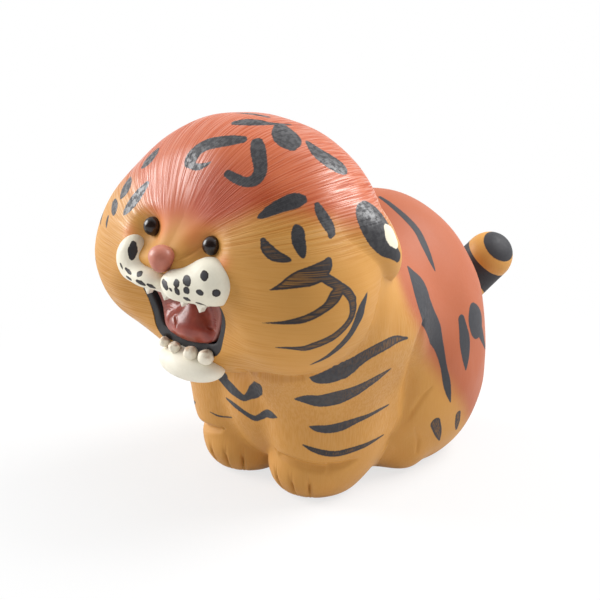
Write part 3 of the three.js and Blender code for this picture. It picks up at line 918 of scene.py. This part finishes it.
def tailPaint(points):  # rings round the tail
    run = runOnTail(points)
    gaps = [np.maximum(low - run, run - high) for low, high in tailSpec["bands"]]
    return np.column_stack([np.minimum(*gaps), np.zeros(len(run)), np.full(len(run), tailSpec["bandGrey"])])


# Spray, blush and comb

blushSpots = {"brow": {"pixel": (194, 238), "radius": 2.2}, "pad": {"pixel": (223, 263), "radius": 1.3}}
bloomSpec = {"middle": 5.9, "aside": 4.2, "asideEdge": (4, 16), "behind": 3, "behindEdge": (-5, 3),
             "farSide": -0.16, "soft": 4, "back": 0.76, "up": 0.645, "bodyEdge": (11.5, 18.5),
             "shoulderEdge": (-12.5, -3.5)}
blushes = []
for blush in blushSpots.values():
    spot = castPixel(*blush["pixel"])[1]
    blushes += [(spot, blush["radius"]), (spot * (-1, 1, 1), blush["radius"])]
inkStrokes = layAll({**headStrokes, **spotStrokes}, brushSpec["headGrey"])
inkStrokes += layAll(bodyStrokes, brushSpec["bodyGrey"]) + layUnseen(unseenStrokes, brushSpec["unseenGrey"])
creamLaid = layAll(creamStrokes, brushSpec["creamGrey"])


def ofHead(name):  # the ears are sprayed and combed as the head is
    return name == head.name or "Ear" in name


def bloomOf(name, points):  # where the red-orange was sprayed
    spec = bloomSpec
    x, y, z = (points - headAt).T
    if ofHead(name):
        level = spec["middle"] + spec["aside"] * smoothStep(*spec["asideEdge"], np.abs(x))
        level = level - spec["behind"] * smoothStep(*spec["behindEdge"], y)
        level = level - spec["farSide"] * np.minimum(x, 0)
        return smoothStep(level - spec["soft"], level + spec["soft"], z)
    if name == body.name:
        height = spec["back"] * points[:, 1] + spec["up"] * points[:, 2]
        return smoothStep(*spec["bodyEdge"], height) * smoothStep(*spec["shoulderEdge"], points[:, 1])
    if name == tail.name:
        return smoothStep(tailSpec["redGone"], tailSpec["redFull"], runOnTail(points))
    return np.zeros(len(points))


deepSpec = {"browEdge": (-3, -9.5), "leftEdge": (-4, 4), "least": 0.1}


def deepOf(points):  # the spray is thickest on the brow, most of all on its left
    x, y = (points - headAt).T[:2]
    left = smoothStep(*deepSpec["leftEdge"], x)
    return smoothStep(*deepSpec["browEdge"], y) * (deepSpec["least"] + (1 - deepSpec["least"]) * left)


furSpec = {"faceEdge": (5.5, 10), "faceUp": 1, "faceDeep": 8, "frontEdge": (5, -3), "sideEdge": (22, 15),
           "topEdge": (1, 8), "least": 0.12, "front": 0.38, "top": 0.88,
           "lowEdge": (6, 14), "highEdge": (36, 30), "shoulderEdge": (4, -8), "body": 0.07, "flank": 0.25,
           "other": 0.1}


def combOf(name, points):  # how deep the comb went
    spec = furSpec
    x, y, z = (points - headAt).T
    if ofHead(name):
        fromFace = np.hypot(x, z - spec["faceUp"]) + np.maximum(y, -spec["faceDeep"]) + spec["faceDeep"]
        front = smoothStep(*spec["frontEdge"], y) * smoothStep(*spec["sideEdge"], np.abs(x))
        top = smoothStep(*spec["topEdge"], z)
        depth = spec["least"] + spec["front"] * front * (1 - top) + spec["top"] * top
        return smoothStep(*spec["faceEdge"], fromFace) * depth
    if name == body.name:
        flank = smoothStep(*spec["lowEdge"], points[:, 2]) * smoothStep(*spec["highEdge"], points[:, 2])
        return spec["body"] + spec["flank"] * smoothStep(*spec["shoulderEdge"], points[:, 1]) * flank
    return np.full(len(points), spec["other"])


def store(piece, name, columns):
    attribute = piece.data.attributes.new(name, "FLOAT_VECTOR", "POINT")
    attribute.data.foreach_set("vector", np.column_stack(columns).astype(np.float32).ravel())


edgeBand = 0.5  # mm from a stroke's edge, within which faces are split

for piece in (head, body):
    gaps = paintOn(piece.name, readPoints(piece), inkStrokes)[:, 0]
    refine(piece, np.abs(gaps) < edgeBand)
    print(piece.name, "refined to", len(piece.data.polygons), "faces")

for piece in paintedPieces:
    points = readPoints(piece)
    paint = tailPaint(points) if piece is tail else paintOn(piece.name, points, inkStrokes)
    cream = paintOn(piece.name, points, creamLaid)[:, 0]
    blush = sum(np.exp(-(np.linalg.norm(points - spot, axis=1) / wide) ** 2) for spot, wide in blushes)
    store(piece, "paint", paint.T)
    store(piece, "tint", (bloomOf(piece.name, points), np.clip(blush, 0, 1), combOf(piece.name, points)))
    store(piece, "slip", (cream, deepOf(points), np.zeros(len(points))))
print("strokes laid:", len(inkStrokes))

# Materials


def feed(wire, node, values):  # links wires, and sets plain values on the node's own sockets
    for key, value in values.items():
        socket = node.inputs[key]
        if isinstance(value, Wire):
            wire.tree.links.new(value.socket, socket)
        else:
            socket.default_value = (*value, 1) if socket.type == "RGBA" else value


class Wire:  # a socket that shader maths is written with
    def __init__(self, tree, socket=None):
        self.tree, self.socket = tree, socket

    def add(self, kind, settings=None, inputs=None, output=0):
        made = self.tree.nodes.new(kind)
        for name, value in (settings or {}).items():
            setattr(made, name, value)
        feed(self, made, inputs or {})
        return Wire(self.tree, made.outputs[output])

    def other(self, output):  # another output of the same node
        return Wire(self.tree, self.socket.node.outputs[output])

    def do(self, operation, *values):
        return self.add("ShaderNodeMath", {"operation": operation}, dict(enumerate(values)))

    def __add__(self, other):
        return self.do("ADD", self, other)

    def __sub__(self, other):
        return self.do("SUBTRACT", self, other)

    def __rsub__(self, other):
        return self.do("SUBTRACT", other, self)

    def __mul__(self, other):
        return self.do("MULTIPLY", self, other)

    def __truediv__(self, other):
        return self.do("DIVIDE", self, other)

    __radd__, __rmul__ = __add__, __mul__

    def step(self, low, high):  # 0 at low, 1 at high
        return self.add("ShaderNodeMapRange", {"interpolation_type": "SMOOTHSTEP"},
                        {"Value": self, "From Min": low, "From Max": high})

    def blend(self, first, second, share):  # a mix node's colours are on sockets 6 and 7, and come out at 2
        return self.add("ShaderNodeMix", {"data_type": "RGBA"}, {0: share, 6: first, 7: second}, 2)

    def axes(self):
        split = self.add("ShaderNodeSeparateXYZ", None, {0: self})
        return [split.other(axis) for axis in "XYZ"]

    def vector(self, x, y, z):
        return self.add("ShaderNodeCombineXYZ", None, {0: x, 1: y, 2: z})

    def grain(self, place, scale, detail=2.0):
        return self.add("ShaderNodeTexNoise", None, {"Vector": place, "Scale": scale, "Detail": detail})

    def swing(self, amount, middle=0.5):  # noise about its middle
        return (self - middle) * amount

    def place(self):
        return self.add("ShaderNodeTexCoord", output="Object")

    def stored(self, name):
        return self.add("ShaderNodeAttribute", {"attribute_name": name}, output="Vector").axes()

    def bump(self, height, strength, distance):
        return self.add("ShaderNodeBump", None,
                        {"Strength": strength, "Distance": distance * mm, "Height": height})


def newFinish(name):
    material = bpy.data.materials.new(name)
    material.use_nodes = True
    tree = material.node_tree
    return material, Wire(tree), tree.nodes["Principled BSDF"]


cloudDetail, speckDetail = 3, 1  # octaves of the coarsest and the finest noise
# widths and run of the comb's lines in millimetres; a fan's lines are that wide at its ring's radius
combSpec = {"line": 0.22, "cheekLine": 0.17, "bodyLine": 0.22, "run": 7.0, "fanHeight": 1.5,
            "fanEdge": (-2, 3), "rings": (6, 11, 19), "innerEdge": (11, 8), "outerEdge": (13, 17)}


def combHead(wire, place):
    own = wire.add("ShaderNodeMapping", None,
                   {"Vector": place, "Location": tuple(-headAt), "Scale": (1 / mm,) * 3})
    x, y, z = own.axes()
    up = z - combSpec["fanHeight"]
    angle = wire.do("ARCTAN2", up, x)
    reach = wire.do("SQRT", x * x + up * up)
    along = (reach - y) / combSpec["run"]
    fans = []
    for ring in combSpec["rings"]:
        across = angle * (ring / combSpec["line"])
        fans.append(wire.grain(wire.vector(across, along, float(ring)), 1.0))
    inner, outer = reach.step(*combSpec["innerEdge"]), reach.step(*combSpec["outerEdge"])
    fan = fans[0] * inner + fans[1] * (1 - inner - outer) + fans[2] * outer
    level = wire.vector(x / combSpec["run"], y / combSpec["run"], z / combSpec["cheekLine"])
    high = up.step(*combSpec["fanEdge"])
    return fan * high + wire.grain(level, 1.0) * (1 - high)


def combBody(wire, place):
    fine, long = 1 / mm / combSpec["bodyLine"], 1 / mm / combSpec["run"]
    own = wire.add("ShaderNodeMapping", None, {"Vector": place, "Scale": (fine, fine, long)})
    return wire.grain(own, 1.0)


sharedTones = {"ochre": (0.555, 0.272, 0.062), "ochreDeep": (0.44, 0.175, 0.024),
               "blush": (0.66, 0.17, 0.06), "cream": (0.78, 0.72, 0.56), "brown": (0.065, 0.028, 0.013),
               "black": (0.028, 0.027, 0.03), "charcoal": (0.041, 0.042, 0.048)}
headTones = {**sharedTones, "ember": (0.52, 0.125, 0.046), "emberDeep": (0.36, 0.042, 0.005)}
bodyTones = {**sharedTones, "ember": (0.41, 0.112, 0.047), "emberDeep": (0.38, 0.09, 0.033)}
# grain is counted per metre, an edge is where a mask goes from 0 to 1, and bump is in millimetres
claySpec = {
    "cloudGrain": 160, "speckGrain": 2600, "patchGrain": 1500, "cloudMiddle": 0.45,
    "grooveEdge": (0.52, 0.36), "crestEdge": (0.47, 0.63), "patchEdge": (0.4, 0.62),
    "redEdge": (0.05, 0.95), "inkEdge": (0.09, -0.09), "bareInside": (-0.15, -0.5),
    "bareEdge": (0.58, 0.42), "redCloud": 0.25, "ochreGroove": 0.8, "ochreCloud": 0.5,
    "emberGroove": 0.6, "emberDeep": 0.8, "emberCloud": 0.4, "blush": 0.5, "inkSpeck": 0.12, "inkComb": 0.4,
    "creamSpeck": 0.2, "dryBrown": 0.15, "bareBrown": 0.9, "bareInk": 0.4, "filledComb": 0.4,
    "skinSpeck": 0.06, "slipSpeck": 0.12, "slipThick": 0.15, "strength": 1.0, "bump": 0.13,
    "specular": 0.3, "roughness": 0.56, "combSmooth": 0.15, "coverRough": 0.1, "cloudRough": 0.12,
    "grooveRough": 0.1, "deepDull": 0.7, "inkDull": 0.9, "inkGloss": 0.7, "coatRoughness": 0.33,
}


def tigerClay(name, combLines, tones):
    spec = claySpec
    material, wire, shader = newFinish(name)
    place = wire.place()
    ink, dry, grey = wire.stored("paint")
    bloom, blush, comb = wire.stored("tint")
    cream, deep = wire.stored("slip")[:2]
    lines = combLines(wire, place)
    cloud = wire.grain(place, spec["cloudGrain"], cloudDetail)
    speck = wire.grain(place, spec["speckGrain"], speckDetail)
    groove = lines.step(*spec["grooveEdge"]) * comb
    gloss = wire.grain(place, spec["patchGrain"]).step(*spec["patchEdge"])  # where the slip dried shiny
    red = (bloom + cloud.swing(spec["redCloud"])).step(*spec["redEdge"])
    share = groove * spec["ochreGroove"] + cloud.swing(spec["ochreCloud"], spec["cloudMiddle"])
    ochre = wire.blend(tones["ochre"], tones["ochreDeep"], share)
    share = groove * spec["emberGroove"] + cloud.swing(spec["emberCloud"], spec["cloudMiddle"])
    ember = wire.blend(tones["ember"], tones["emberDeep"], share + deep * spec["emberDeep"])
    skin = wire.blend(wire.blend(ochre, ember, red), tones["blush"], blush * spec["blush"])
    inked = ink + speck.swing(spec["inkSpeck"]) + lines.swing(spec["inkComb"]) * comb
    covered = inked.step(*spec["inkEdge"])
    missed = dry * ink.step(*spec["bareInside"]) * lines.step(*spec["bareEdge"])  # grooves that stayed bare
    inkTone = wire.blend(tones["black"], tones["charcoal"], grey)
    inkTone = wire.blend(inkTone, tones["brown"], dry * spec["dryBrown"] + missed * spec["bareBrown"])
    dressed = wire.blend(skin, inkTone, covered * (1 - missed * spec["bareInk"]))
    creamed = (cream + speck.swing(spec["creamSpeck"])).step(*spec["inkEdge"])
    dressed = wire.blend(dressed, tones["cream"], creamed)
    height = lines * comb * (1 - covered * spec["filledComb"])
    height = height + speck * (covered * spec["slipSpeck"] + spec["skinSpeck"])
    height = height + covered * spec["slipThick"]
    roughness = spec["roughness"] - comb * spec["combSmooth"] + (covered + deep) * spec["coverRough"]
    roughness = roughness + cloud.swing(spec["cloudRough"]) + groove * spec["grooveRough"]
    crests = lines.step(*spec["crestEdge"]) * (1 - deep * spec["deepDull"])
    crests = crests * (1 - covered * spec["inkDull"])
    feed(wire, shader, {
        "Base Color": dressed, "Roughness": roughness, "Specular IOR Level": spec["specular"],
        "Normal": wire.bump(height, spec["strength"], spec["bump"]),
        "Coat Weight": (crests + covered * gloss * spec["inkGloss"]) * comb,
        "Coat Roughness": spec["coatRoughness"],
    })
    return material


slipTones = {
    "spottedCreamSlip": ((0.77, 0.73, 0.6), (0.64, 0.58, 0.45)),
    # the chin's cream slip: its own colour, painted a little lighter than the pads' to stand in for light
    # bounced up from the floor
    "creamSlip": ((0.81, 0.77, 0.65), (0.68, 0.62, 0.49)),
    "whiteSlip": ((0.8, 0.76, 0.66), (0.68, 0.62, 0.5)),
    "charcoalSlip": ((0.03, 0.029, 0.032), (0.02, 0.019, 0.022)),
}
slipSpec = {"cloudGrain": 260, "speckGrain": 2400, "cloudMiddle": 0.42, "cloudShare": 1.2,
            "speckShare": 0.5, "relief": 0.5, "strength": 0.5, "bump": 0.08, "roughness": 0.5,
            "speckRough": 0.15, "specular": 0.4}
dotSpec = {"ink": (0.034, 0.033, 0.038), "rim": (0.02, 0.009, 0.006), "rimEdge": (-0.3, -0.05),
           "rimCloud": 0.5, "edge": (0.06, -0.06), "edgeSpeck": 0.25, "thick": 0.6}


def slipFinish(name, spotted=False):
    spec, dot = slipSpec, dotSpec
    material, wire, shader = newFinish(name)
    place = wire.place()
    cloud, speck = wire.grain(place, spec["cloudGrain"], cloudDetail), wire.grain(place, spec["speckGrain"])
    share = cloud.swing(spec["cloudShare"], spec["cloudMiddle"]) + speck.swing(spec["speckShare"])
    dressed = wire.blend(*slipTones[name], share)
    height = (speck + cloud) * spec["relief"]
    if spotted:
        ink = wire.stored("paint")[0]
        covered = (ink + speck.swing(dot["edgeSpeck"])).step(*dot["edge"])
        rimShare = (ink + cloud.swing(dot["rimCloud"])).step(*dot["rimEdge"])
        dressed = wire.blend(dressed, wire.blend(dot["ink"], dot["rim"], rimShare), covered)
        height = height + covered * dot["thick"]
    feed(wire, shader, {"Base Color": dressed, "Normal": wire.bump(height, spec["strength"], spec["bump"]),
                        "Roughness": speck.swing(spec["speckRough"]) + spec["roughness"],
                        "Specular IOR Level": spec["specular"]})
    return material


toothSpec = {"speckGrain": 1500, "gritGrain": 5200, "white": (0.8, 0.74, 0.61), "stain": (0.42, 0.25, 0.13),
             "upEdge": (0.1, 0.9), "stainEdge": (0.4, 0.62), "stainShare": 0.65, "gritShare": 0.35,
             "strength": 0.6, "bump": 0.08, "roughness": 0.5}


def toothFinish(name):  # stained where a bead faces up
    spec = toothSpec
    material, wire, shader = newFinish(name)
    place = wire.place()
    speck, grit = wire.grain(place, spec["speckGrain"], cloudDetail), wire.grain(place, spec["gritGrain"])
    up = wire.add("ShaderNodeNewGeometry", output="Normal").axes()[2]
    stain = up.step(*spec["upEdge"]) * speck.step(*spec["stainEdge"]) * spec["stainShare"]
    dressed = wire.blend(spec["white"], spec["stain"], stain + grit.swing(spec["gritShare"]))
    feed(wire, shader, {"Base Color": dressed, "Roughness": spec["roughness"],
                        "Normal": wire.bump(grit + speck, spec["strength"], spec["bump"])})
    return material


glazes = {
    "palateClay": {"tones": ((0.36, 0.13, 0.105), (0.27, 0.08, 0.06)), "roughness": 0.5, "coat": 0.0},
    "tongueGlaze": {"tones": ((0.34, 0.062, 0.036), (0.22, 0.026, 0.012)), "roughness": 0.36, "coat": 0.25},
    "noseClay": {"tones": ((0.55, 0.2, 0.13), (0.44, 0.13, 0.085)), "roughness": 0.42, "coat": 0.1},
    "eyeGlaze": {"tones": ((0.022, 0.011, 0.008), (0.01, 0.005, 0.004)), "roughness": 0.24, "coat": 0.0},
}
glazeSpec = {"cloudGrain": 330, "speckGrain": 1900, "cloudEdge": (0.35, 0.65), "speckShare": 0.35,
             "strength": 0.5, "bump": 0.12, "cloudRough": 0.15, "coatRoughness": 0.15}


def glazeFinish(name):
    spec, glaze = glazeSpec, glazes[name]
    material, wire, shader = newFinish(name)
    place = wire.place()
    cloud, speck = wire.grain(place, spec["cloudGrain"], cloudDetail), wire.grain(place, spec["speckGrain"])
    height = cloud + speck * spec["speckShare"]
    feed(wire, shader, {"Base Color": wire.blend(*glaze["tones"], cloud.step(*spec["cloudEdge"])),
                        "Normal": wire.bump(height, spec["strength"], spec["bump"]),
                        "Roughness": cloud.swing(spec["cloudRough"]) + glaze["roughness"],
                        "Coat Weight": glaze["coat"], "Coat Roughness": spec["coatRoughness"]})
    return material


def dress(material, *pieces):
    for piece in pieces:
        piece.data.materials.clear()
        piece.data.materials.append(material)


dress(tigerClay("combedHeadClay", combHead, headTones), head, *ears.values())
dress(tigerClay("combedBodyClay", combBody, bodyTones), body, tail, *paws.values())
dress(slipFinish("spottedCreamSlip", True), *pads.values())
dress(slipFinish("creamSlip"), chin)
dress(slipFinish("whiteSlip"), upperTeeth)
dress(slipFinish("charcoalSlip"), rim)
dress(toothFinish("grittyToothSlip"), *beads)
dress(glazeFinish("palateClay"), lining)
dress(glazeFinish("tongueGlaze"), tongue)
dress(glazeFinish("noseClay"), nose)
dress(glazeFinish("eyeGlaze"), *eyes.values())
print("finishes:", len(bpy.data.materials))

# Stage: pale floor, soft studio light from the left and from behind on the right

stageSpec = {"floorSize": 3.0, "floorDrop": 0.05, "floorColour": (0.75, 0.75, 0.75), "floorRoughness": 0.9,
             "floorSpecular": 0.1, "white": (1, 1, 1), "whiteEdge": (0.03, 0.085), "whiteLeast": 0.72,
             "fill": 0.54, "frontAzimuth": 20, "frontEdge": (-0.1, 0.5), "frontDim": 0.95}
lampSpec = {
    "left": {"azimuth": -63, "elevation": 22, "distance": 0.6, "size": 0.38, "watts": 3.5},
    "rear": {"azimuth": 152, "elevation": 46, "distance": 0.6, "size": 0.42, "watts": 4.5},
}


def seenPlainly(wire):  # rays to which the ground shows white, whatever light falls on it
    seen = wire.add("ShaderNodeLightPath", output="Is Camera Ray")
    bounced = wire.do("MAXIMUM", seen.other("Is Glossy Ray"), seen.other("Is Transmission Ray"))
    return wire.do("MAXIMUM", seen, bounced)


bm = bmesh.new()
bmesh.ops.create_grid(bm, x_segments=2, y_segments=2, size=stageSpec["floorSize"] / 2)
bmesh.ops.translate(bm, verts=bm.verts, vec=(0, 0, -stageSpec["floorDrop"] * mm))
floor = link("floor", bm)
material, wire, shader = newFinish("paleFloor")
feed(wire, shader, {"Base Color": stageSpec["floorColour"], "Roughness": stageSpec["floorRoughness"],
                    "Specular IOR Level": stageSpec["floorSpecular"]})
away = wire.add("ShaderNodeVectorMath", {"operation": "LENGTH"}, {0: wire.place()}, "Value")
glow = wire.add("ShaderNodeEmission", None, {"Color": stageSpec["white"], "Strength": 1.0})
far = away.step(*stageSpec["whiteEdge"])
white = (far * (1 - stageSpec["whiteLeast"]) + stageSpec["whiteLeast"]) * seenPlainly(wire)
surface = wire.add("ShaderNodeMixShader", None, {0: white, 1: Wire(wire.tree, shader.outputs[0]), 2: glow})
wire.tree.links.new(surface.socket, wire.tree.nodes["Material Output"].inputs["Surface"])
dress(material, floor)

world = bpy.data.worlds.new("studio")
world.use_nodes = True
bpy.context.scene.world = world
sky = Wire(world.node_tree)
background = world.node_tree.nodes["Background"]
across, along = sky.add("ShaderNodeTexCoord", output="Generated").axes()[:2]
frontTurn = math.radians(stageSpec["frontAzimuth"])
front = across * math.sin(frontTurn) - along * math.cos(frontTurn)
front = front.step(*stageSpec["frontEdge"])
glossy = sky.add("ShaderNodeLightPath", output="Is Glossy Ray")
dim = 1 - front * glossy * stageSpec["frontDim"]  # no white wall stands behind the camera
strength = (seenPlainly(sky) * (1 - stageSpec["fill"]) + stageSpec["fill"]) * dim
feed(sky, background, {"Color": stageSpec["white"], "Strength": strength})

for name, lamp in lampSpec.items():
    data = bpy.data.lights.new(name, "AREA")
    data.shape, data.size, data.energy = "DISK", lamp["size"], lamp["watts"]
    standAt(name, data, Vector(bodyMiddle) * mm + towards(lamp) * lamp["distance"], towards(lamp))

bpy.context.scene.view_settings.view_transform = "Standard"
print("stage ready")
